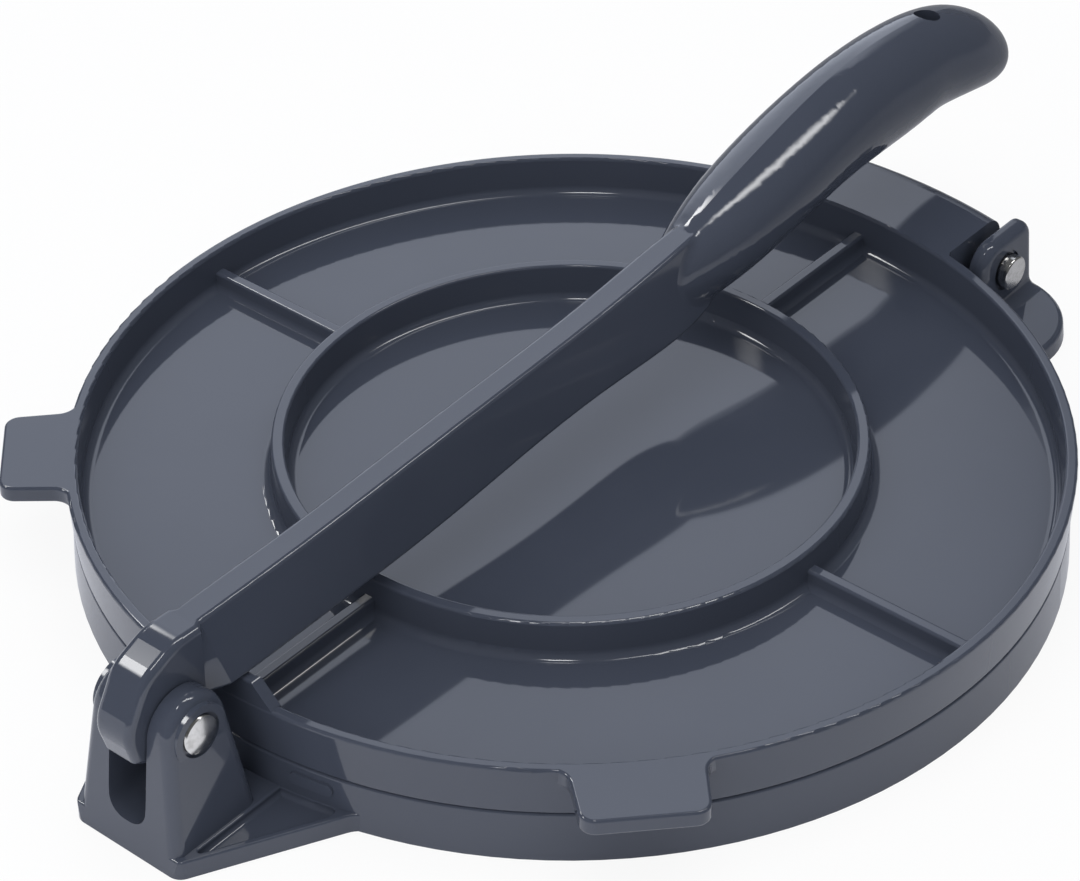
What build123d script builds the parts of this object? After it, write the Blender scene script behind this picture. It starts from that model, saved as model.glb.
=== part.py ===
from build123d import *
import os
from math import atan2, degrees, radians, sqrt, tan

# A hand press for flat dough, cast in aluminium: a round base, a hinged lid
# and a lever that pivots in a fork and bears down on the lid's front edge.
#
# Millimetres. The origin is the centre of the base's underside, on the table.
# +Z is up, the lever's fork is at -Y and the lid's hinge is at +Y.

# ---------------------------------------------------------------- castings
draft = 3.0                 # degrees, on the walls of every casting
edge_round = 0.8            # small rounds along the castings' edges
foot_round = 2.5            # hollow rounds where walls rise from a floor
blend_bite = 0.3            # how far blended outlines run into a drafted wall
seam_turn = 22.0            # degrees, clear of the ribs, for turned surfaces' seams

# ------------------------------------------------------------ round plates
plate_radius = 130.0        # lid's rim, at its top
base_height = 14.0          # table to the base's working face
base_plate = 4.0            # thickness of the base's disc
base_skirt = 4.0            # thickness of the base's outer wall
plate_gap = 0.2             # working face to the lid's underside
lid_height = 14.1           # lid's underside to the top of its rim
lid_plate = 2.8             # thickness of the lid's disc
rim_width = 3.2             # lid's outer wall, at its top

# ------------------------------------------------- rings and ribs on plates
ring_inner_radius = 73.9    # at the ring's top
ring_width = 3.4
ring_drop = 0.7             # ring's top below the rim's top
rib_count = 4
rib_width = 3.5             # at the rib's top
rib_height = 5.0            # above the lid's floor
under_ring_depth = 8.0      # ring and ribs under the base, below its disc
under_rib_depth = 5.0

# ----------------------------------------------------- lid's tabs and pad
tab_angle = 46.5            # degrees, either side of the front
tab_reach = 16.2            # beyond the rim
tab_root_width = 32.6
tab_tip_width = 30.2
tab_thickness = 4.5
tab_corner = 4.0
tab_root_round = 5.0
pad_top_width = 21.0        # raised pad that the lever bears on
pad_foot_width = 32.0
pad_round = 2.0
rest_gap = 0.3              # pad's top to the lever's underside

# --------------------------------------------------------- pins and their fits
pin_radius = 5.0
running_clearance = 0.05    # pin to the bores that turn on it
pin_recess = 0.9            # shallow round recess about a pin's end
pin_recess_width = 0.9      # its width beyond the pin
pin_end_round = 0.6
dome_height = 1.4           # lever pin's domed end
lever_pin_proud = 0.6       # its straight part beyond the recess floor
hinge_pin_proud = 2.3       # hinge pin's end beyond the ear's foot

# ------------------------------------------------------------ front fork
pivot_reach = 19.0          # lever pin's axis beyond the plate's radius
pivot_height = 34.0         # above the table
fork_top_radius = 10.0      # ears' round tops, about the pin
fork_front = 14.5           # fork's foot before and behind the pin's axis
fork_back = 14.5
fork_foot_half_width = 16.3 # ears' outer faces where they meet the flanges
fork_lean = 6.2             # degrees, the ears' outer faces
fork_round = 3.0            # along the ears' outer edges
fork_boss_radius = 8.0      # flat round boss about the pin
fork_boss_half_width = 13.6
slot_width = 12.2           # beside the knuckle; drafted below it
slot_floor = 8.7            # lowest point of the slot's round bottom
slot_full_height = 16.0     # where the slot reaches its full width
flange_height = 5.3
flange_front_half = 16.8    # half width of the flanges' front
flange_half_width = 37.5    # where the side flanges run into the base
flange_corner = 4.0
flange_blend = 7.0
flange_bury = 0.2           # share of a flange's length run on into the base
pocket_depth = 2.2
pocket_border = 1.9
pocket_end = 4.6            # its blunt end short of the flange's own
pocket_round = 1.2
pocket_hollow = 1.2         # between the pocket's floor and its walls
rim_round = 0.6             # along the flanges' and the pockets' top edges
boss_length = 12.0          # low oval raised on the base's wall
boss_height = 3.6
boss_proud = 0.6
boss_offset = 26.3
boss_level = 10.0

# ------------------------------------------------------------- rear hinge
hinge_reach = 14.5          # hinge pin's axis beyond the plate's radius
hinge_rise = 2.5            # and above the base's working face
ear_inner = 32.8            # inner face of each ear from the middle
ear_thickness = 6.2
ear_front = 12.0            # ear before and behind the pin's axis
ear_back = 12.5
ear_rise = 10.5             # ear's top above the pin's axis
ear_front_round = 8.0
ear_back_round = 4.5
ear_foot_round = 4.0
ear_outer_round = 3.0       # along the ears' outer edges
ear_inner_round = 1.0
shelf_height = 5.0          # flange that carries the ears
shelf_back = 15.2           # its rear edge behind the pin's axis
shelf_half_width = 59.6
shelf_round = 23.6
shelf_edge_round = 1.5
ear_gap = 2.5               # lid's lug to an ear
lug_barrel_radius = 10.6    # lug's round underside, about the pin
lug_back_round = 6.5
lug_corner = 2.5
lug_root_round = 3.0
lug_wall_gap = 0.6          # lug to the base's wall below the lid

# ------------------------------------------------------------------ lever
knuckle_width = 11.6
knuckle_round = 2.1         # along the knuckle's top and front
knuckle_reach = 15.8        # its foremost point before the pin's axis
knuckle_drop = 9.6          # its underside below the pin's axis
knuckle_tail = 10.0         # where it ends behind the pin's axis
bar_top_half_width = 3.7
bar_foot_half_width = 8.5
bar_edge_round = 1.2
shoulder_run = 6.0          # slanting shoulder between knuckle and bar
shoulder_top_run = 1.5
shoulder_lip = 0.05         # its start lies this far within the knuckle's faces
underside_rise = 1.1        # bar's underside above the pin's axis
bar_depth = 20.2            # bar's height where it leaves the knuckle
lever_reach = 335.1         # from the pin's axis to the grip's end
grip_half_width = 14.0
grip_half_height = 14.6
grip_hollow = 5.0           # where the bar runs into the grip
hole_radius = 3.7           # hanging hole near the grip's end
hole_inset = 32.0           # its axis short of the grip's end

# Bar's stations: share of the lever's reach, rise of foot and of top as shares
# of the bar's depth, and width as a share of its full width.
bar_stations = [
    (0.134, 0.0, 0.02, 1.0),
    (0.239, 0.04, 0.09, 1.0),
    (0.343, 0.17, 0.17, 1.0),
    (0.448, 0.27, 0.25, 1.0),
    (0.564, 0.30, 0.43, 1.0),
    (0.612, 0.50, 0.47, 0.7),
]
# Grip's middle line: share of the lever's reach, rise over the bar's depth.
grip_line = [
    (0.546, 0.743),
    (0.6535, 1.208),
    (0.743, 1.530),
    (0.8326, 1.634),
    (0.9221, 1.525),
    (1.0, 0.832),
]
# Grip's ovals: place along that line, width and height of each.
grip_ovals = [
    (0.00, 0.36, 0.56),
    (0.10, 0.70, 0.80),
    (0.20, 0.93, 0.89),
    (0.32, 1.02, 0.93),
    (0.45, 1.01, 1.01),
    (0.58, 1.00, 1.08),
    (0.70, 1.00, 1.02),
    (0.80, 1.00, 0.93),
    (0.88, 0.97, 0.82),
    (0.94, 0.82, 0.65),
    (0.975, 0.58, 0.45),
    (0.992, 0.33, 0.26),
    (1.0, 0.08, 0.06),
]

# ------------------------------------------------------ what follows from them
lid_bottom = base_height + plate_gap
lid_floor = lid_bottom + lid_plate
lid_top = lid_bottom + lid_height
slope = tan(radians(draft))
parting_radius = plate_radius - lid_height * slope
base_foot_radius = parting_radius + base_height * slope
rim_inner_radius = plate_radius - rim_width
ring_outer_radius = ring_inner_radius + ring_width
pivot_y = -(plate_radius + pivot_reach)
hinge_y = plate_radius + hinge_reach
hinge_z = base_height + hinge_rise
ear_outer = ear_inner + ear_thickness
lug_half_width = ear_inner - ear_gap
bore_radius = pin_radius + running_clearance
pad_top = pivot_height + underside_rise - rest_gap
hole_distance = lever_reach - hole_inset


# ------------------------------------------------------------------ helpers
def rounded_face(corners, plane=Plane.XY):
    """Face through corners (across, up, rounding) on a plane."""
    points = [(across, up) for across, up, _ in corners]
    radii = [rounding for _, _, rounding in corners]
    return plane * make_face(FilletPolyline(*points, radius=radii, close=True).edges())


def turned(corners):
    """Solid of revolution about +Z from corners (radius, height, rounding)."""
    return Rot(0, 0, seam_turn) * revolve(rounded_face(corners, Plane.XZ), Axis.Z)


def across_x(corners, start, end):
    """Outline (y, height, rounding) extruded along X from start to end."""
    face = rounded_face(corners, Plane.YZ.offset(start))
    return extrude(face, end - start)


def along_y(corners, start, end):
    """Outline (x, height, rounding) extruded along Y from start to end."""
    face = rounded_face(corners, Plane.XZ.offset(-start))
    return extrude(face, start - end)


def rod_x(radius, start, end, y, z):
    """Round rod along X between two places, about an axis at (y, z)."""
    face = Plane.YZ.offset(start) * Pos(y, z) * Circle(radius)
    return extrude(face, end - start)


def blended_plan(blank, radius, blend):
    """A plan joined to a circle about the origin by hollow rounds.

    Only the part within the rounds' own sector is kept, so that it ends
    inside the wall that it grows from.
    """
    plan = blank + Circle(radius)
    corners = [vertex for vertex in plan.vertices() if is_on_circle(vertex, radius)]
    corners = [vertex for vertex in corners if touches_line(vertex, plan)]
    plan = fillet(corners, blend)
    ends = [vertex for vertex in plan.vertices() if is_on_circle(vertex, radius)]
    middle = blank.center()
    ends = sorted(ends, key=lambda vertex: (vertex.center() - middle).length)[:2]
    first, last = [vertex.center() * 2 for vertex in ends]
    sector = make_face(Polyline((0, 0), first, last, close=True).edges())
    return plan & sector


def is_on_circle(vertex, radius):
    """Whether a plan's vertex lies on a circle about the origin."""
    return abs(vertex.center().length - radius) < 1e-4


def touches_line(vertex, plan):
    """Whether a straight edge of the plan ends at a vertex."""
    lines = plan.edges().filter_by(GeomType.LINE)
    gaps = [(end.center() - vertex.center()).length for line in lines for end in line.vertices()]
    return min(gaps) < 1e-4


def mirrored_x(solid):
    """A solid and its mirror image on the other side of the middle."""
    return solid + mirror(solid, Plane.YZ)


# ------------------------------------------------------------ lid casting
def lid_disc():
    """Dished disc with its drafted rim and the stiffening ring."""
    rim_drop = (lid_top - lid_floor) * slope
    ring_top = lid_top - ring_drop
    ring_flare = (ring_top - lid_floor) * slope
    return turned([
        (0, lid_bottom, 0),
        (parting_radius, lid_bottom, edge_round),
        (plate_radius, lid_top, edge_round),
        (rim_inner_radius, lid_top, edge_round),
        (rim_inner_radius - rim_drop, lid_floor, foot_round),
        (ring_outer_radius + ring_flare, lid_floor, foot_round),
        (ring_outer_radius, ring_top, edge_round),
        (ring_inner_radius, ring_top, edge_round),
        (ring_inner_radius - ring_flare, lid_floor, foot_round),
        (0, lid_floor, 0),
    ])


def lid_rib(inner, outer):
    """One radial rib along +X, with hollow rounds that run into the floor."""
    top = lid_floor + rib_height
    root = lid_floor - blend_bite
    half = rib_width / 2
    foot = half + (top - root) * slope
    reach = foot + foot_round + edge_round
    section = rounded_face([
        (-reach, root - blend_bite, 0),
        (reach, root - blend_bite, 0),
        (reach, root, 0),
        (foot, root, foot_round),
        (half, top, edge_round),
        (-half, top, edge_round),
        (-foot, root, foot_round),
        (-reach, root, 0),
    ], Plane.YZ.offset(inner))
    return extrude(section, outer - inner)


def spokes(solid):
    """A rib repeated round the plate's axis."""
    copies = [Rot(0, 0, 360 * turn / rib_count) * solid for turn in range(rib_count)]
    return copies


def tab(side):
    """Flat finger tab level with the rim, blended into it at its root."""
    wall = plate_radius - tab_thickness * slope - blend_bite
    inside = rim_inner_radius + edge_round
    root = tab_root_width / 2
    tip = tab_tip_width / 2
    start = sqrt(inside ** 2 - root ** 2)
    blank = rounded_face([
        (start, -root, 0),
        (plate_radius + tab_reach, -tip, tab_corner),
        (plate_radius + tab_reach, tip, tab_corner),
        (start, root, 0),
    ])
    plan = blended_plan(blank, wall, tab_root_round) - Circle(inside)
    body = extrude(Pos(0, 0, lid_top - tab_thickness) * plan, tab_thickness)
    outer = [edge for edge in body.edges() if is_tab_edge(edge)]
    body = fillet(outer, edge_round)
    return Rot(0, 0, -90 + side * tab_angle) * body


def is_tab_edge(edge):
    """The level edges that run round a tab outside the rim."""
    level = abs(edge.position_at(0).Z - edge.position_at(1).Z) < 1e-6
    return level and (edge @ 0.5).X > plate_radius + 0.5


def pad():
    """Raised pad on the rim's front, ramped at both ends."""
    half_top = pad_top_width / 2
    half_foot = pad_foot_width / 2
    block = along_y([
        (-half_foot, lid_top - 1, 0),
        (half_foot, lid_top - 1, 0),
        (half_foot, lid_top, 0),
        (half_top, pad_top, pad_round),
        (-half_top, pad_top, pad_round),
        (-half_foot, lid_top, 0),
    ], -plate_radius - 1, -rim_inner_radius + 2 * rim_width)
    ring = turned([
        (rim_inner_radius - 0.3, lid_top - 1, 0),
        (plate_radius - edge_round * 0.3, lid_top - 1, 0),
        (plate_radius - edge_round * 0.3, pad_top, edge_round),
        (rim_inner_radius - 0.3, pad_top, edge_round),
    ])
    return block & ring


def lug():
    """Broad hinge lug behind the rim with a round underside about the pin."""
    back = hinge_y + lug_barrel_radius
    inner = rim_inner_radius + edge_round
    wall = parting_radius - blend_bite
    half = lug_half_width
    reach = half + 2 * lug_root_round
    cap = turned([
        (inner, 0, 0),
        (back, 0, 0),
        (back, lid_top, lug_back_round),
        (inner, lid_top, 0),
    ])
    barrel = rod_x(lug_barrel_radius, -reach, reach, hinge_y, hinge_z)
    neck = across_x([
        (hinge_y - 2 * hinge_reach, lid_bottom, 0),
        (hinge_y, lid_bottom, 0),
        (back, hinge_z, 0),
        (back, lid_top, 0),
        (hinge_y - 2 * hinge_reach, lid_top, 0),
    ], -reach, reach)
    blank = rounded_face([
        (-half, hinge_y - 2 * hinge_reach, 0),
        (half, hinge_y - 2 * hinge_reach, 0),
        (half, back, lug_corner),
        (-half, back, lug_corner),
    ])
    plan = blended_plan(blank, wall, lug_root_round)
    block = (barrel + neck) & extrude(plan, 2 * lid_top) & cap
    under = turned([
        (0, -1, 0),
        (parting_radius + lug_wall_gap, -1, 0),
        (parting_radius + lug_wall_gap, lid_bottom, 0),
        (0, lid_bottom, 0),
    ])
    return block - under


def lid():
    """The whole upper casting."""
    body = lid_disc()
    inner = ring_outer_radius - ring_width / 2
    outer = rim_inner_radius + rim_width / 2
    for copy in spokes(lid_rib(inner, outer)):
        body += copy
    body += tab(1)
    body += tab(-1)
    body += pad()
    body += lug()
    body -= rod_x(bore_radius, -plate_radius, plate_radius, hinge_y, hinge_z)
    return body


# ----------------------------------------------------------- base casting
def base_disc():
    """Working disc and drafted skirt, filled: the hollow is cut later."""
    return turned([
        (0, 0, 0),
        (base_foot_radius, 0, 0),
        (parting_radius, base_height, edge_round),
        (0, base_height, 0),
    ])


def base_hollow():
    """What is open under the disc, inside the skirt."""
    depth = base_height - base_plate
    foot = base_foot_radius - base_skirt
    return turned([
        (0, -1, 0),
        (foot + slope, -1, 0),
        (foot - depth * slope, depth, foot_round),
        (0, depth, 0),
    ])


def under_ring():
    """Stiffening ring under the disc."""
    ceiling = base_height - base_plate
    bottom = ceiling - under_ring_depth
    flare = under_ring_depth * slope
    return turned([
        (ring_inner_radius, bottom, edge_round),
        (ring_outer_radius, bottom, edge_round),
        (ring_outer_radius + flare, ceiling, 0),
        (ring_outer_radius + flare, ceiling + base_plate / 2, 0),
        (ring_inner_radius - flare, ceiling + base_plate / 2, 0),
        (ring_inner_radius - flare, ceiling, 0),
    ])


def under_rib(inner, outer):
    """One radial rib under the disc, along +X."""
    ceiling = base_height - base_plate
    half = rib_width / 2
    foot = half + under_rib_depth * slope
    section = rounded_face([
        (-half, ceiling - under_rib_depth, edge_round),
        (half, ceiling - under_rib_depth, edge_round),
        (foot, ceiling, 0),
        (foot, ceiling + base_plate / 2, 0),
        (-foot, ceiling + base_plate / 2, 0),
        (-foot, ceiling, 0),
    ], Plane.YZ.offset(inner))
    return extrude(section, outer - inner)


def fork_profile(back):
    """Side view of the fork from its round top to a foot that ends at back."""
    head = Pos(pivot_y, pivot_height) * Circle(fork_top_radius)
    foot = Line((pivot_y - fork_front, 0), (back, 0))
    return Plane.YZ * make_hull([head.edge(), foot])


def flange_side():
    """Points where a flange's side starts at the front and meets the base."""
    wall = parting_radius + (base_height - flange_height) * slope
    front = Vector(flange_front_half, pivot_y - fork_front)
    rear = Vector(flange_half_width, -sqrt(wall ** 2 - flange_half_width ** 2))
    return front, rear, wall


def fork_flanges():
    """Low flanges that spread from the fork's foot into the round base."""
    front, rear, wall = flange_side()
    inside = rear + (rear - front) * flange_bury
    wing = rounded_face([
        (-front.X, front.Y, flange_corner),
        (front.X, front.Y, flange_corner),
        (inside.X, inside.Y, 0),
        (0, rear.Y / 2, 0),
        (-inside.X, inside.Y, 0),
    ])
    plan = blended_plan(wing, wall - blend_bite, flange_blend)
    body = extrude(plan, flange_height)
    body &= extrude(fork_profile(rear.Y / 2), 2 * flange_half_width, both=True)
    body -= mirrored_x(flange_pocket())
    rims = [edge for edge in body.edges() if is_rim_edge(edge)]
    return fillet(rims, rim_round)


def is_rim_edge(edge):
    """Edges round the flanges' tops, outside the base's wall."""
    start, end = edge @ 0, edge @ 1
    level = abs(start.Z - flange_height) < 0.01 and abs(end.Z - flange_height) < 0.01
    outside = (edge @ 0.5).Y < flange_side()[1].Y + 1
    return level and outside


def flange_pocket():
    """Shallow three-cornered pocket in the right flange's top."""
    front, rear, wall = flange_side()
    along = (rear - front).normalized()
    start = front + Vector(-along.Y, along.X) * pocket_border
    inner = fork_foot_half_width + 1.5 * rim_round
    outer = flange_half_width - pocket_end
    tip = start + along * ((inner - start.X) / along.X)
    right = start + along * ((outer - start.X) / along.X)
    plan = rounded_face([
        (inner, tip.Y, rim_round),
        (outer, right.Y, pocket_round),
        (outer, -wall / 2, 0),
        (inner, -wall / 2, 0),
    ])
    block = extrude(Pos(0, 0, flange_height - pocket_depth) * plan, pocket_depth + edge_round)
    block -= Cylinder(wall + edge_round / 4, 2 * base_height)
    uprights = block.edges().filter_by(Axis.Z).sort_by(Axis.Y)[-2:]
    block = fillet(uprights, pocket_round)
    floor = block.faces().sort_by(Axis.Z)[0]
    return fillet(floor.edges(), pocket_hollow)


def fork_block():
    """Both ears, before the slot is cut, down to within the flanges."""
    level = flange_height - edge_round
    top = pivot_height + fork_top_radius
    lean = tan(radians(fork_lean))
    wide = fork_foot_half_width + (flange_height - level) * lean
    narrow = fork_foot_half_width - (top - flange_height) * lean
    ears = along_y([
        (-wide, level, 0),
        (wide, level, 0),
        (narrow, top, 0),
        (-narrow, top, 0),
    ], pivot_y - 2 * fork_front, pivot_y + 2 * fork_back)
    block = extrude(fork_profile(pivot_y + fork_back), fork_foot_half_width * 2, both=True) & ears
    outer = [edge for edge in block.edges() if is_ear_edge(edge)]
    block = fillet(outer, fork_round)
    boss = rod_x(
        fork_boss_radius, -fork_boss_half_width, fork_boss_half_width, pivot_y, pivot_height,
    )
    return block + boss


def is_ear_edge(edge):
    """Outer edges of the fork's ears."""
    start, end = edge @ 0, edge @ 1
    outside = min(abs(start.X), abs(end.X)) > fork_foot_half_width / 2
    return outside and start.X * end.X > 0 and max(start.Z, end.Z) > flange_height


def fork_slot():
    """Slot between the ears with a full round bottom."""
    half = slot_width / 2
    low = half - (slot_full_height - slot_floor) * slope
    slot = along_y([
        (-low, slot_floor, low - rim_round),
        (low, slot_floor, low - rim_round),
        (half, slot_full_height, 0),
        (half, pivot_height * 2, 0),
        (-half, pivot_height * 2, 0),
        (-half, slot_full_height, 0),
    ], pivot_y - 2 * fork_front, -base_foot_radius)
    return slot


def wall_boss(side):
    """Low oval raised on the base's wall beside the fork."""
    turn = degrees(atan2(boss_offset, parting_radius))
    outline = Pos(0, boss_level) * SlotOverall(boss_length, boss_height)
    face = Plane.XZ.offset(parting_radius - base_skirt / 2) * outline
    reach = base_skirt / 2 + (base_height - boss_level) * slope + boss_proud
    return Rot(0, 0, side * turn) * extrude(face, reach)


def hinge_shelf():
    """Flange with round lobes behind the base, that carries the hinge ears."""
    back = hinge_y + shelf_back
    wide = shelf_half_width
    root = sqrt(parting_radius ** 2 - wide ** 2) - base_skirt
    plan = rounded_face([
        (-wide, root, 0),
        (wide, root, 0),
        (wide, back, shelf_round),
        (-wide, back, shelf_round),
    ])
    body = extrude(plan, shelf_height, taper=2 * draft)
    rims = [edge for edge in body.edges() if is_shelf_rim(edge)]
    return fillet(rims, shelf_edge_round)


def is_shelf_rim(edge):
    """The shelf's level top edges behind the base."""
    low = min((edge @ 0).Z, (edge @ 1).Z)
    return low > shelf_height - 0.01 and (edge @ 0.5).Y > parting_radius / 2


def hinge_ear():
    """Right-hand ear, rounded all along its outer and inner edges."""
    front = hinge_y - ear_front
    back = hinge_y + ear_back
    top = hinge_z + ear_rise
    side = across_x([
        (front, 0, 0),
        (back + top * slope, 0, 0),
        (back, top, ear_back_round),
        (front, top, ear_front_round),
    ], ear_inner - ear_thickness, ear_outer + ear_thickness)
    ear = along_y([
        (ear_inner, 0, 0),
        (ear_outer + shelf_height * slope, 0, 0),
        (ear_outer - (top - shelf_height) * slope, top, 0),
        (ear_inner, top, 0),
    ], front - ear_front, back + ear_back)
    body = side & ear
    for inside, rounding in ((False, ear_outer_round), (True, ear_inner_round)):
        rims = [edge for edge in body.edges() if is_ear_rim(edge, inside)]
        body = fillet(rims, rounding)
    return body


def is_ear_rim(edge, inside):
    """Edges round the inner or the outer face of the right-hand hinge ear."""
    start, end = edge @ 0, edge @ 1
    if max(start.Z, end.Z) < shelf_height:
        return False
    if inside:
        return max(start.X, end.X) < ear_inner + 0.1
    return min(start.X, end.X) > ear_outer - ear_thickness / 3


def hinge_mount():
    """Shelf with both ears and hollow rounds at their feet."""
    body = hinge_shelf() + mirrored_x(hinge_ear())
    feet = [edge for edge in body.edges() if is_hinge_foot(edge)]
    return fillet(feet, ear_foot_round)


def is_hinge_foot(edge):
    """Edges where the hinge ears stand on the shelf, but for their inner faces."""
    start, middle, end = edge @ 0, edge @ 0.5, edge @ 1
    level = max(abs(start.Z - shelf_height), abs(end.Z - shelf_height)) < 0.01
    beside = ear_inner + 0.1 < abs(middle.X) < ear_outer + ear_thickness / 3
    return level and beside and abs(middle.Y - hinge_y) < ear_back + ear_inner_round


def pin_recesses(half_width, y, z):
    """Shallow recesses about both ends of a pin."""
    radius = pin_radius + pin_recess_width
    right = rod_x(radius, half_width - pin_recess, half_width + pin_radius, y, z)
    return mirrored_x(right)


def base():
    """The whole lower casting."""
    body = base_disc() + hinge_mount() + fork_flanges() + fork_block()
    body += wall_boss(1)
    body += wall_boss(-1)
    body -= base_hollow()
    body += under_ring()
    inner = ring_outer_radius - ring_width / 2
    outer = parting_radius - base_skirt / 2
    for copy in spokes(under_rib(inner, outer)):
        body += copy
    body -= fork_slot()
    body -= rod_x(pin_radius, -plate_radius, plate_radius, pivot_y, pivot_height)
    body -= rod_x(pin_radius, -plate_radius, plate_radius, hinge_y, hinge_z)
    body -= pin_recesses(fork_boss_half_width, pivot_y, pivot_height)
    body -= pin_recesses(ear_outer - (hinge_z - shelf_height) * slope, hinge_y, hinge_z)
    return body


# ------------------------------------------------------------------- pins
def lever_pin():
    """Short pin with a low dome at each end."""
    shank = fork_boss_half_width - pin_recess + lever_pin_proud
    dome_radius = (pin_radius ** 2 + dome_height ** 2) / (2 * dome_height)
    end = shank + dome_height
    half = make_face([
        Polyline((0, 0), (0, pin_radius), (shank, pin_radius)),
        RadiusArc((shank, pin_radius), (end, 0), dome_radius),
        Line((end, 0), (0, 0)),
    ])
    right = Pos(0, pivot_y, pivot_height) * revolve(half, Axis.X)
    return mirrored_x(right)


def hinge_pin():
    """Long plain pin through both ears and the lid's lug."""
    half = ear_outer + hinge_pin_proud
    rod = rod_x(pin_radius, -half, half, hinge_y, hinge_z)
    ends = [edge for edge in rod.edges() if abs(abs((edge @ 0.5).X) - half) < 0.01]
    return fillet(ends, pin_end_round)


# ------------------------------------------------------------------ lever
def knuckle():
    """Hooked head of the lever that turns in the fork's slot."""
    top = underside_rise + bar_depth
    shape = [
        (knuckle_tail, top, 0),
        (0.13 * knuckle_reach, 1.01 * top, 14),
        (-0.54 * knuckle_reach, 0.80 * top, 10),
        (-knuckle_reach, 0.19 * top, 10),
        (-0.84 * knuckle_reach, -0.54 * knuckle_drop, 1.2),
        (-0.38 * knuckle_reach, -knuckle_drop, 5),
        (0.32 * knuckle_reach, -knuckle_drop, 6),
        (knuckle_tail, -0.15 * knuckle_drop, 0),
    ]
    corners = [(pivot_y + run, pivot_height + rise, r) for run, rise, r in shape]
    half = knuckle_width / 2
    body = across_x(corners, -half, half)
    tops = [edge for edge in body.edges() if is_knuckle_edge(edge, half)]
    return fillet(tops, knuckle_round)


def is_knuckle_edge(edge, half):
    """Side edges along the knuckle's top and front."""
    start, middle, end = edge @ 0, edge @ 0.5, edge @ 1
    on_side = abs(abs(start.X) - half) < 0.01 and abs(start.X - end.X) < 0.01
    above = middle.Z > pivot_height + underside_rise + bar_depth / 2
    before = middle.Y < pivot_y - knuckle_drop
    return on_side and (above or before) and middle.Y < pivot_y + knuckle_tail - 0.1


def bar_section(runs, heights, halves, top_round=bar_edge_round):
    """Section of the bar: foot and top each by run, height and half width.

    Runs are distances from the pin's axis and heights are above it.
    """
    run = runs[1] - runs[0]
    rise = heights[1] - heights[0]
    depth = sqrt(run ** 2 + rise ** 2)
    plane = Plane(
        origin=(0, pivot_y + runs[0], pivot_height + heights[0]),
        x_dir=(-1, 0, 0),
        z_dir=(0, rise, -run),
    )
    return rounded_face([
        (-halves[0], 0, bar_edge_round),
        (halves[0], 0, bar_edge_round),
        (halves[1], depth, top_round),
        (-halves[1], depth, top_round),
    ], plane)


def bar():
    """Keystone bar: narrow flat top, broad foot, bowed underside."""
    low = underside_rise
    high = underside_rise + bar_depth
    halves = (bar_foot_half_width, bar_top_half_width)
    runs = (knuckle_tail + shoulder_run, knuckle_tail + shoulder_top_run)
    sections = [bar_section(runs, (low, high), halves)]
    for run, foot, top, width in bar_stations:
        place = run * lever_reach
        heights = (low + foot * bar_depth, high + top * bar_depth)
        sections.append(bar_section((place, place), heights, [half * width for half in halves]))
    half = knuckle_width / 2 - shoulder_lip
    tail = knuckle_tail - blend_bite
    head = bar_section((tail, tail), (low, high - shoulder_lip), (half, half), knuckle_round)
    return loft(sections) + loft([head, sections[0]], ruled=True)


def grip():
    """Hand grip: ovals along a bowed middle line, closed by a round nose."""
    line = [
        (0, pivot_y + run * lever_reach, pivot_height + rise * bar_depth)
        for run, rise in grip_line
    ]
    middle = Spline(*line)
    sections = []
    for share, width, height in grip_ovals:
        plane = Plane(origin=middle @ share, x_dir=(-1, 0, 0), z_dir=middle % share)
        oval = Ellipse(grip_half_width * width, grip_half_height * height)
        sections.append(plane * oval)
    return loft(sections)


def is_grip_seam(edge):
    """Edges where the bar runs into the grip."""
    run = ((edge @ 0.5).Y - pivot_y) / lever_reach
    return grip_line[0][0] < run < bar_stations[-1][0] + blend_bite / lever_reach


def lever():
    """The whole lever casting."""
    body = bar() + grip()
    seam = [edge for edge in body.edges() if is_grip_seam(edge)]
    body = knuckle() + fillet(seam, grip_hollow)
    body -= rod_x(bore_radius, -plate_radius, plate_radius, pivot_y, pivot_height)
    hole = Pos(0, pivot_y + hole_distance, pivot_height) * Cylinder(hole_radius, lever_reach)
    return body - hole


# ----------------------------------------------------------------- export
def write_part(name, solid):
    """Write one piece to its own file."""
    export_step(solid, os.path.join("parts", name + ".step"))


os.makedirs("parts", exist_ok=True)
write_part("base_casting", base())
write_part("lid_casting", lid())
write_part("lever_casting", lever())
write_part("lever_pivot_pin", lever_pin())
write_part("rear_hinge_pin", hinge_pin())
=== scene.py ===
"""A cast tortilla press: coated castings, turned steel pins, studio light and camera."""
import logging
import math
from dataclasses import dataclass, field
from enum import Enum
from typing import Any, Iterable, Mapping, Sequence, Union

import bpy
import numpy as np
from mathutils import Matrix, Quaternion, Vector


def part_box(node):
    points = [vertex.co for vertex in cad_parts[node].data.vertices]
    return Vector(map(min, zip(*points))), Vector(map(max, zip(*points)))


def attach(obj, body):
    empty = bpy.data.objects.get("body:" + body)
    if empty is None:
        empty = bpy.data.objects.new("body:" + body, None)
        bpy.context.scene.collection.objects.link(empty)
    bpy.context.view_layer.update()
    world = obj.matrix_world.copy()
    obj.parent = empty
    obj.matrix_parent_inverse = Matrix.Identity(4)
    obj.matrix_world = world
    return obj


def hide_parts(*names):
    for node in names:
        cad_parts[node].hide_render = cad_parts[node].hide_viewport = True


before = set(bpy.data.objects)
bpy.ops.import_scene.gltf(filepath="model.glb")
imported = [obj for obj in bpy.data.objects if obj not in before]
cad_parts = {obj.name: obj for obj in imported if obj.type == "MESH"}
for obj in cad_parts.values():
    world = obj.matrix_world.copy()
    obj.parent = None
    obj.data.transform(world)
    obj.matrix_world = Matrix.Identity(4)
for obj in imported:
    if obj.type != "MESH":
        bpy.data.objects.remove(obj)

LOG = logging.getLogger("press")
MM = 0.001
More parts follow.
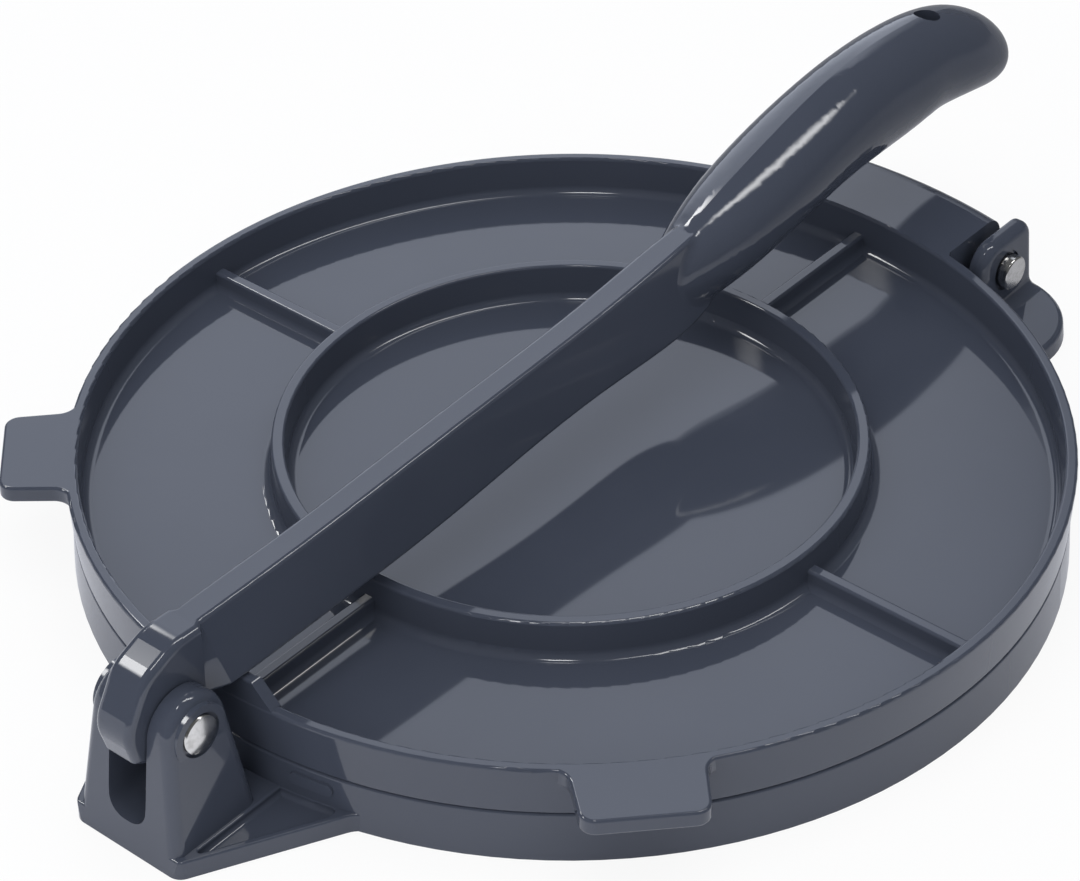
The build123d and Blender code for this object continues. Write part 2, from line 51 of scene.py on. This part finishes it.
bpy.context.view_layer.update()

Number = Union[int, float]
Colour = tuple[float, float, float]


class Slot(Enum):
    """Material slots of the record."""

    COATING = "coated_casting"
    STEEL = "pin_steel"


def opaque(colour: Colour) -> tuple[float, float, float, float]:
    """The colour with full alpha."""
    return (*colour, 1.0)


class Wire:
    """A shader socket that can be used in arithmetic."""

    def __init__(self, graph: "Graph", socket: bpy.types.NodeSocket) -> None:
        """Keeps the graph and the socket."""
        self.graph = graph
        self.socket = socket

    def _math(self, operation: str, *values: Any, clamp: bool = False) -> "Wire":
        """One Math node of the operation on the values."""
        settings = {"operation": operation, "use_clamp": clamp}
        return self.graph.add("ShaderNodeMath", settings, dict(enumerate(values)))

    def __add__(self, other: Any) -> "Wire":
        """self + other."""
        return self._math("ADD", self, other)

    __radd__ = __add__

    def __sub__(self, other: Any) -> "Wire":
        """self - other."""
        return self._math("SUBTRACT", self, other)

    def __rsub__(self, other: Any) -> "Wire":
        """other - self."""
        return self._math("SUBTRACT", other, self)

    def __mul__(self, other: Any) -> "Wire":
        """self * other."""
        return self._math("MULTIPLY", self, other)

    __rmul__ = __mul__

    def __truediv__(self, other: Any) -> "Wire":
        """self / other."""
        return self._math("DIVIDE", self, other)

    def sine(self) -> "Wire":
        """Sine of self, in radians."""
        return self._math("SINE", self)

    def clamped(self) -> "Wire":
        """self held between 0 and 1."""
        return self._math("ADD", self, 0.0, clamp=True)

    def smooth(self, low: Number, high: Number) -> "Wire":
        """0 below low, 1 above high, an S-curve between them."""
        settings = {"interpolation_type": "SMOOTHSTEP"}
        return self.graph.add("ShaderNodeMapRange", settings,
                              {"Value": self, "From Min": low, "From Max": high})


class Graph:
    """Adds nodes to one node tree."""

    def __init__(self, tree: bpy.types.NodeTree) -> None:
        """Keeps the tree, emptied."""
        self.tree = tree
        tree.nodes.clear()

    def add(self, kind: str, settings: Mapping[str, Any] | None = None,
            inputs: Mapping[str | int, Any] | None = None,
            output: str | int = 0) -> Wire:
        """Adds one node.

        Args:
            kind: The node's type.
            settings: The node's own settings, set first; "stops" fills a colour ramp.
            inputs: Values or wires by socket name or number.
            output: The socket to hand back.

        Returns:
            The output socket, wrapped.
        """
        node = self.tree.nodes.new(kind)
        for name, value in (settings or {}).items():
            if name == "stops":
                self._fill_ramp(node.color_ramp, value)
            else:
                setattr(node, name, value)
        for name, value in (inputs or {}).items():
            if isinstance(value, Wire):
                self.tree.links.new(value.socket, node.inputs[name])
            else:
                node.inputs[name].default_value = value
        return Wire(self, node.outputs[output]) if len(node.outputs) else None

    @staticmethod
    def _fill_ramp(ramp: bpy.types.ColorRamp, stops: Sequence[tuple[float, Any]]) -> None:
        """Sets the ramp's stops, given as (place, colour)."""
        while len(ramp.elements) < len(stops):
            ramp.elements.new(1.0)
        for element, (place, colour) in zip(ramp.elements, stops):
            element.position = place
            element.color = colour

    def blend(self, share: Any, first: Any, second: Any) -> Wire:
        """The first colour turned into the second by the share."""
        node = self.tree.nodes.new("ShaderNodeMix")
        node.data_type = "RGBA"
        sockets = {"Factor": share, "A": first, "B": second}
        for socket in node.inputs:
            if socket.type not in ("RGBA", "VALUE") or socket.name not in sockets:
                continue
            if socket.name == "Factor" and socket.identifier != "Factor_Float":
                continue
            if socket.name != "Factor" and socket.type != "RGBA":
                continue
            value = sockets[socket.name]
            if isinstance(value, Wire):
                self.tree.links.new(value.socket, socket)
            else:
                socket.default_value = value
        output = next(s for s in node.outputs if s.type == "RGBA")
        return Wire(self, output)

    def place(self) -> Wire:
        """Object coordinates, in metres."""
        return self.add("ShaderNodeTexCoord", output="Object")

    def noise(self, place: Wire, size: float, detail: float = 2.0,
              roughness: float = 0.5) -> Wire:
        """Soft noise whose lumps are about size metres across, 0 to 1."""
        return self.add("ShaderNodeTexNoise", {}, {
            "Vector": place, "Scale": 1.0 / size, "Detail": detail,
            "Roughness": roughness})

    def finish_surface(self, shader: Wire) -> None:
        """Joins the shader to the material's output."""
        self.add("ShaderNodeOutputMaterial", {}, {"Surface": shader})


def new_material(name: str) -> tuple[bpy.types.Material, Graph]:
    """An empty node material and its graph."""
    material = bpy.data.materials.new(name)
    material.use_nodes = True
    return material, Graph(material.node_tree)


@dataclass(frozen=True)
class BakedCoating:
    """Glossy slate-grey coating baked over a casting.

    The coating flows a little before it sets, so it has long shallow ripples, a fine
    orange peel and a few dust pips. It is thinner, so a shade lighter, in patches.
    """

    colour: Colour = (0.050, 0.058, 0.081)
    thin_colour: Colour = (0.054, 0.062, 0.086)
    roughness: float = 0.06
    roughness_spread: float = 0.03
    ripple_size: float = 26 * MM
    ripple_height: float = 0.012 * MM
    peel_size: float = 2.6 * MM
    peel_height: float = 0.0004 * MM
    pip_spacing: float = 21 * MM
    pip_radius: float = 0.32 * MM
    pip_height: float = 0.04 * MM

    def build(self, name: str, seed: float) -> bpy.types.Material:
        """Makes the material.

        Args:
            name: The material's name.
            seed: Moves the pattern, so that no two castings repeat it.

        Returns:
            The node material.
        """
        material, graph = new_material(name)
        place = graph.add("ShaderNodeMapping", {}, {
            "Vector": graph.place(), "Location": (seed, seed * 0.7, seed * 1.3)})
        patch = graph.noise(place, 55 * MM, 3.0).smooth(0.35, 0.7)
        colour = graph.blend(patch, opaque(self.colour), opaque(self.thin_colour))
        gloss = graph.noise(place, 18 * MM, 4.0, 0.6)
        rough = self.roughness + (gloss - 0.5) * self.roughness_spread
        ripple = graph.noise(place, self.ripple_size, 1.0) * self.ripple_height
        peel = graph.noise(place, self.peel_size, 1.0) * self.peel_height
        cells = graph.add("ShaderNodeTexVoronoi", {"feature": "F1"}, {
            "Vector": place, "Scale": 1.0 / self.pip_spacing, "Randomness": 1.0})
        pip = 1.0 - (cells * self.pip_spacing / self.pip_radius).clamped()
        height = ripple + peel + pip * self.pip_height
        normal = graph.add("ShaderNodeBump", {}, {
            "Strength": 1.0, "Distance": 1.0, "Height": height})
        shader = graph.add("ShaderNodeBsdfPrincipled", {}, {
            "Base Color": colour, "Roughness": rough, "IOR": 1.5,
            "Normal": normal})
        graph.finish_surface(shader)
        return material


@dataclass(frozen=True)
class TurnedSteel:
    """Bright steel, turned on its end and polished by use.

    The tool leaves fine rings round the pin's axis. Handling leaves soft dull patches.
    """

    colour: Colour = (0.66, 0.65, 0.63)
    dull_colour: Colour = (0.52, 0.51, 0.49)
    roughness: float = 0.20
    roughness_spread: float = 0.08
    patch_size: float = 2.4 * MM
    ring_pitch: float = 0.22 * MM
    ring_height: float = 0.0004 * MM

    def build(self, name: str, centre: Vector) -> bpy.types.Material:
        """Makes the material.

        Args:
            name: The material's name.
            centre: A point of the pin's axis, which runs along X.

        Returns:
            The node material.
        """
        material, graph = new_material(name)
        place = graph.place()
        from_axis = graph.add("ShaderNodeVectorMath", {"operation": "SUBTRACT"}, {
            0: place, 1: (0.0, centre.y, centre.z)})
        across = graph.add("ShaderNodeVectorMath", {"operation": "MULTIPLY"}, {
            0: from_axis, 1: (0.0, 1.0, 1.0)})
        radius = graph.add("ShaderNodeVectorMath", {"operation": "LENGTH"}, {0: across},
                           output="Value")
        ring = (radius * (2 * math.pi / self.ring_pitch)).sine()
        patch = graph.noise(place, self.patch_size, 3.0, 0.6)
        colour = graph.blend(patch.smooth(0.46, 0.72), opaque(self.colour),
                             opaque(self.dull_colour))
        rough = self.roughness + (patch - 0.5) * self.roughness_spread
        normal = graph.add("ShaderNodeBump", {}, {
            "Strength": 1.0, "Distance": 1.0, "Height": ring * self.ring_height})
        shader = graph.add("ShaderNodeBsdfPrincipled", {}, {
            "Base Color": colour, "Roughness": rough, "Metallic": 1.0,
            "Normal": normal})
        graph.finish_surface(shader)
        return material


def mesh_object(name: str, points: np.ndarray, faces: Sequence[Sequence[int]],
                material: bpy.types.Material) -> bpy.types.Object:
    """Makes a smooth-shaded object at the origin.

    Args:
        name: The object's name.
        points: One row per vertex, in metres.
        faces: Vertex numbers of each face, outward side counter-clockwise.
        material: The material of all faces.

    Returns:
        The object, linked to the scene.
    """
    mesh = bpy.data.meshes.new(name)
    mesh.from_pydata(points.tolist(), [], faces)
    mesh.polygons.foreach_set("use_smooth", np.ones(len(mesh.polygons), dtype=bool))
    mesh.materials.append(material)
    item = bpy.data.objects.new(name, mesh)
    bpy.context.scene.collection.objects.link(item)
    return item


def turned_surface(profile: np.ndarray, centre: Vector, sides: int) -> tuple[np.ndarray, list]:
    """Closed surface of revolution about an axis along X.

    Point (i, j) is (x_i, r_i cos a_j, r_i sin a_j) from the centre, where a_j is j turns
    out of sides. The profile's two ends lie on the axis and become single poles.

    Args:
        profile: Rows of (x, r) in metres, x rising from one pole to the other.
        centre: The pin's middle.
        sides: How many points go round.

    Returns:
        The points and the faces.
    """
    turn = np.arange(sides) * (2 * math.pi / sides)
    along, out = profile[1:-1, 0, None], profile[1:-1, 1, None]
    rings = np.stack([np.broadcast_to(along, (len(along), sides)),
                      out * np.cos(turn), out * np.sin(turn)], -1)
    poles = np.array([[profile[0, 0], 0.0, 0.0], [profile[-1, 0], 0.0, 0.0]])
    points = np.concatenate([rings.reshape(-1, 3), poles]) + np.array(centre)
    number = np.arange(len(along) * sides).reshape(len(along), sides)
    onward = np.roll(number, -1, axis=1)
    walls = np.stack([number[:-1], onward[:-1], onward[1:], number[1:]], -1)
    first, last = number.size, number.size + 1
    low_cap = np.stack([np.full(sides, first), onward[0], number[0]], -1)
    high_cap = np.stack([np.full(sides, last), number[-1], onward[-1]], -1)
    faces = walls.reshape(-1, 4).tolist() + low_cap.tolist() + high_cap.tolist()
    return points, faces


class PinEnd(Enum):
    """How a pin's ends are finished."""

    DOMED = "domed"
    ROUNDED = "rounded"


@dataclass
class Pin:
    """A turned pin along X that stands in for its plain CAD node.

    Its length and thickness are the node's. The end faces carry the shallow rings that
    the turning tool leaves.
    """

    node: str
    name: str
    end: PinEnd
    body: str = "base"
    sides: int = 96
    dome_height: float = 0.9 * MM
    edge_round: float = 0.6 * MM
    edge_steps: int = 8
    groove_pitch: float = 0.5 * MM
    groove_depth: float = 0.005 * MM
    groove_steps: int = 8

    def _end_profile(self, radius: float) -> np.ndarray:
        """One end, from its edge to the axis, as rows of (depth below the tip, r).

        A dome falls with the square of r by its height at the edge. A rounded end is
        flat, with a quarter circle of the edge's radius. Both have grooves whose depth
        goes as a raised cosine of r over the pitch.
        """
        flat = radius if self.end is PinEnd.DOMED else radius - self.edge_round
        count = int(flat / self.groove_pitch) * self.groove_steps
        out = np.linspace(flat, 0.0, count + 1)
        groove = 0.5 - 0.5 * np.cos(2 * math.pi * out / self.groove_pitch)
        depth = self.groove_depth * groove
        if self.end is PinEnd.DOMED:
            depth = depth + self.dome_height * (out / radius) ** 2
            return np.stack([depth, out], -1)
        turn = np.linspace(0.0, math.pi / 2, self.edge_steps + 1)[:-1]
        edge = np.stack([self.edge_round * (1 - np.sin(turn)),
                         flat + self.edge_round * np.cos(turn)], -1)
        return np.concatenate([edge, np.stack([depth, out], -1)])

    def build(self, finish: TurnedSteel) -> bpy.types.Object:
        """Makes the pin in the place of its node.

        Args:
            finish: The steel it is turned from.

        Returns:
            The pin's object.
        """
        low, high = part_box(self.node)
        centre = (low + high) / 2
        half, radius = (high.x - low.x) / 2, (high.z - low.z) / 2
        end = self._end_profile(radius)
        right = np.stack([half - end[:, 0], end[:, 1]], -1)
        left = right[::-1] * np.array([-1.0, 1.0])
        points, faces = turned_surface(np.concatenate([left, right]), centre, self.sides)
        item = mesh_object(self.name, points, faces, finish.build(self.name, centre))
        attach(item, self.body)
        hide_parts(self.node)
        LOG.info("%s stands for %s on %s", self.name, self.node, self.body)
        return item


@dataclass
class Casting:
    """A coated casting: the CAD node's own shape with its finish."""

    node: str
    seed: float

    def dress(self, coating: "BakedCoating") -> None:
        """Gives the casting its coating, with the pattern moved by the seed."""
        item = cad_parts[self.node]
        material = coating.build(f"coating_{self.node}", self.seed)
        for slot in item.material_slots:
            slot.material = material
        LOG.info("%s wears %s", self.node, material.name)


@dataclass
class Base:
    """Lower plate with fork and rear hinge, and the two pins that it carries."""

    casting: Casting = field(default_factory=lambda: Casting("base_casting", 0.37))
    lever_pin: Pin = field(default_factory=lambda: Pin(
        "lever_pivot_pin", "lever_pin_turned", PinEnd.DOMED))
    hinge_pin: Pin = field(default_factory=lambda: Pin(
        "rear_hinge_pin", "hinge_pin_turned", PinEnd.ROUNDED))

    def build(self, coating: BakedCoating, steel: TurnedSteel) -> None:
        """Dresses the casting and makes both pins."""
        self.casting.dress(coating)
        self.lever_pin.build(steel)
        self.hinge_pin.build(steel)


@dataclass
class Lid:
    """Upper plate with its lug between the hinge ears."""

    casting: Casting = field(default_factory=lambda: Casting("lid_casting", 0.74))

    def build(self, coating: BakedCoating) -> None:
        """Dresses the casting."""
        self.casting.dress(coating)


@dataclass
class Lever:
    """Lever with its knuckle, bar and grip, cast in one."""

    casting: Casting = field(default_factory=lambda: Casting("lever_casting", 1.11))

    def build(self, coating: BakedCoating) -> None:
        """Dresses the casting."""
        self.casting.dress(coating)


class Lights(Enum):
    """What a lamp lights."""

    ALL = "everything"
    MATTE = "matte light alone"
    GLOSS = "reflections alone"


@dataclass
class Softbox:
    """A rectangular lamp aimed at a point of the press, dimmer towards its edges."""

    name: str
    place: Colour
    size: tuple[float, float]
    radiance: float
    lights: Lights = Lights.ALL
    tint: Colour = (1.0, 1.0, 1.0)
    target: Colour = (0.0, 0.0, 0.02)
    soft_edge: tuple[float, float] | None = None
    roll: float = 0.0

    def build(self) -> bpy.types.Object:
        """Makes the lamp.

        Returns:
            The lamp's object. Its power gives the wanted radiance: an area lamp of
            power P and area A shines with P / (pi * A).
        """
        lamp = bpy.data.lights.new(self.name, "AREA")
        lamp.shape = "RECTANGLE"
        lamp.size, lamp.size_y = self.size
        lamp.energy = self.radiance * math.pi * self.size[0] * self.size[1]
        lamp.color = self.tint
        if self.soft_edge:
            self._soften(lamp)
        item = bpy.data.objects.new(self.name, lamp)
        bpy.context.scene.collection.objects.link(item)
        item.location = self.place
        aim = Vector(self.target) - Vector(self.place)
        roll = Quaternion((0.0, 0.0, 1.0), math.radians(self.roll))
        item.rotation_euler = (aim.to_track_quat("-Z", "Y") @ roll).to_euler()
        item.visible_camera = False
        item.visible_diffuse = self.lights is not Lights.GLOSS
        item.visible_glossy = self.lights is not Lights.MATTE
        return item

    def _soften(self, lamp: bpy.types.AreaLight) -> None:
        """Fades the lamp over its soft edges, shares of its width and height."""
        lamp.use_nodes = True
        graph = Graph(lamp.node_tree)
        across = graph.add("ShaderNodeNewGeometry", output="Parametric")
        fade: Any = 1.0
        for axis, edge in zip(("X", "Y"), self.soft_edge):
            share = graph.add("ShaderNodeSeparateXYZ", {}, {0: across}, output=axis)
            fade = share.smooth(0.0, edge) * fade
            fade = (1.0 - share).smooth(0.0, edge) * fade
        glow = graph.add("ShaderNodeEmission", {}, {"Strength": fade})
        graph.add("ShaderNodeOutputLight", {}, {"Surface": glow})


@dataclass
class Studio:
    """Pale floor, even room light and soft lamps."""

    floor_half: float = 6.0
    floor_colour: Colour = (0.86, 0.86, 0.87)
    floor_white: float = 0.90
    # Seen in reflections the floor glows: bright in front, and painted shade at the rear.
    mirrored_front: Colour = (1.15, 1.18, 1.32)
    painted_rear_shade: Colour = (0.12, 0.12, 0.13)
    front_share: float = 0.35
    rear_share: float = 0.75
    rear_start: float = -0.12
    rear_end: float = 0.30
    room_colour: Colour = (0.93, 0.96, 1.0)
    room_level: float = 0.42
    mirrored_room_level: float = 0.12

    def floor(self) -> bpy.types.Object:
        """Makes the floor, a square grid of four faces that is white to the eye and glows in
        reflections, with painted shade towards the rear.
        """
        steps = np.linspace(-self.floor_half, self.floor_half, 3)
        grid_x, grid_y = np.meshgrid(steps, steps)
        points = np.stack([grid_x, grid_y, np.zeros_like(grid_x)], -1).reshape(-1, 3)
        corner = np.array([0, 1, 3, 4])[:, None]
        faces = corner + np.array([0, 1, 4, 3])[None, :]
        material, graph = new_material("studio_floor")
        matte = graph.add("ShaderNodeBsdfDiffuse", {}, {
            "Color": opaque(self.floor_colour)})
        camera = graph.add("ShaderNodeLightPath", output="Is Camera Ray")
        glossy = graph.add("ShaderNodeLightPath", output="Is Glossy Ray")
        passed = graph.add("ShaderNodeLightPath", output="Is Transmission Ray")
        along = graph.add("ShaderNodeSeparateXYZ", {}, {0: graph.place()}, output="Y")
        # Painted shade: the floor's glow in reflections darkens towards the rear.
        rear = along.smooth(self.rear_start, self.rear_end)
        mirrored = graph.blend(rear, opaque(self.mirrored_front),
                               opaque(self.painted_rear_shade))
        colour = graph.blend(camera, mirrored, opaque((1.0, 1.0, 1.0)))
        glow = graph.add("ShaderNodeEmission", {}, {"Color": colour, "Strength": 1.0})
        mirrored_share = self.front_share + rear * (self.rear_share - self.front_share)
        share = camera * self.floor_white + (glossy + passed) * mirrored_share
        surface = graph.add("ShaderNodeMixShader", {}, {0: share, 1: matte, 2: glow})
        graph.finish_surface(surface)
        item = mesh_object("floor", points, faces.tolist(), material)
        return item

    def room(self) -> None:
        """Fills the world with even pale light, and a dark ceiling for reflections."""
        world = bpy.data.worlds.new("room")
        bpy.context.scene.world = world
        world.use_nodes = True
        graph = Graph(world.node_tree)
        glossy = graph.add("ShaderNodeLightPath", output="Is Glossy Ray")
        drop = self.room_level - self.mirrored_room_level
        light = graph.add("ShaderNodeBackground", {}, {
            "Color": opaque(self.room_colour), "Strength": self.room_level - glossy * drop})
        graph.add("ShaderNodeOutputWorld", {}, {"Surface": light})

    def lamps(self) -> Iterable[Softbox]:
        """The soft lamps round the press."""
        yield Softbox("back_panel", (-1.02, 0.92, 0.71), (1.55, 1.44), 1.42, Lights.ALL,
                      (0.92, 0.98, 1.12), soft_edge=(0.3, 0.08))
        yield Softbox("overhead", (0.2, -0.1, 1.6), (1.6, 1.6), 1.8, Lights.MATTE)
        yield Softbox("front_fill", (0.15, -1.15, 0.6), (1.2, 1.2), 1.6, Lights.MATTE)
        yield Softbox("top_strip", (0.37, 0.45, 1.30), (0.32, 1.1), 12.0, Lights.GLOSS,
                      soft_edge=(0.5, 0.25))
        yield Softbox("high_box", (0.20, -0.34, 1.32), (0.20, 0.30), 16.0, Lights.GLOSS,
                      soft_edge=(0.3, 0.3))
        yield Softbox("left_box", (-0.84, 0.20, 1.00), (0.45, 0.18), 17.0, Lights.GLOSS,
                      soft_edge=(0.3, 0.3))
        yield Softbox("front_box", (-0.68, -0.52, 0.94), (0.62, 0.22), 15.0, Lights.GLOSS,
                      soft_edge=(0.3, 0.3), roll=-35.0)

    def build(self) -> None:
        """Makes the floor, the room light and the lamps."""
        self.floor()
        self.room()
        for lamp in self.lamps():
            lamp.build()


@dataclass
class PhotoCamera:
    """The camera at the photograph's viewing angle."""

    target: Colour = (-17.86 * MM, 8.65 * MM, 10.0 * MM)
    azimuth: float = 40.6
    elevation: float = 37.55
    roll: float = -0.82
    distance: float = 928.7 * MM
    lens: float = 116.68
    sensor: float = 36.0

    def build(self) -> bpy.types.Object:
        """Makes the camera, which looks at the target from azimuth and elevation."""
        turn, lift = math.radians(self.azimuth), math.radians(self.elevation)
        back = Vector((math.sin(turn) * math.cos(lift),
                       -math.cos(turn) * math.cos(lift), math.sin(lift)))
        data = bpy.data.cameras.new("camera")
        data.lens, data.sensor_width = self.lens, self.sensor
        item = bpy.data.objects.new("camera", data)
        bpy.context.scene.collection.objects.link(item)
        item.matrix_world = (
            Matrix.Translation(Vector(self.target) + back * self.distance)
            @ Matrix.Rotation(turn, 4, "Z")
            @ Matrix.Rotation(math.pi / 2 - lift, 4, "X")
            @ Matrix.Rotation(math.radians(self.roll), 4, "Z"))
        bpy.context.scene.camera = item
        return item


def main() -> None:
    """Builds the press and its studio in order."""
    logging.basicConfig(level=logging.INFO, format="%(name)s: %(message)s")
    coating, steel = BakedCoating(), TurnedSteel()
    Base().build(coating, steel)
    Lid().build(coating)
    Lever().build(coating)
    Studio().build()
    PhotoCamera().build()
    bpy.context.scene.view_settings.view_transform = "Standard"


if __name__ == "__main__":
    main()
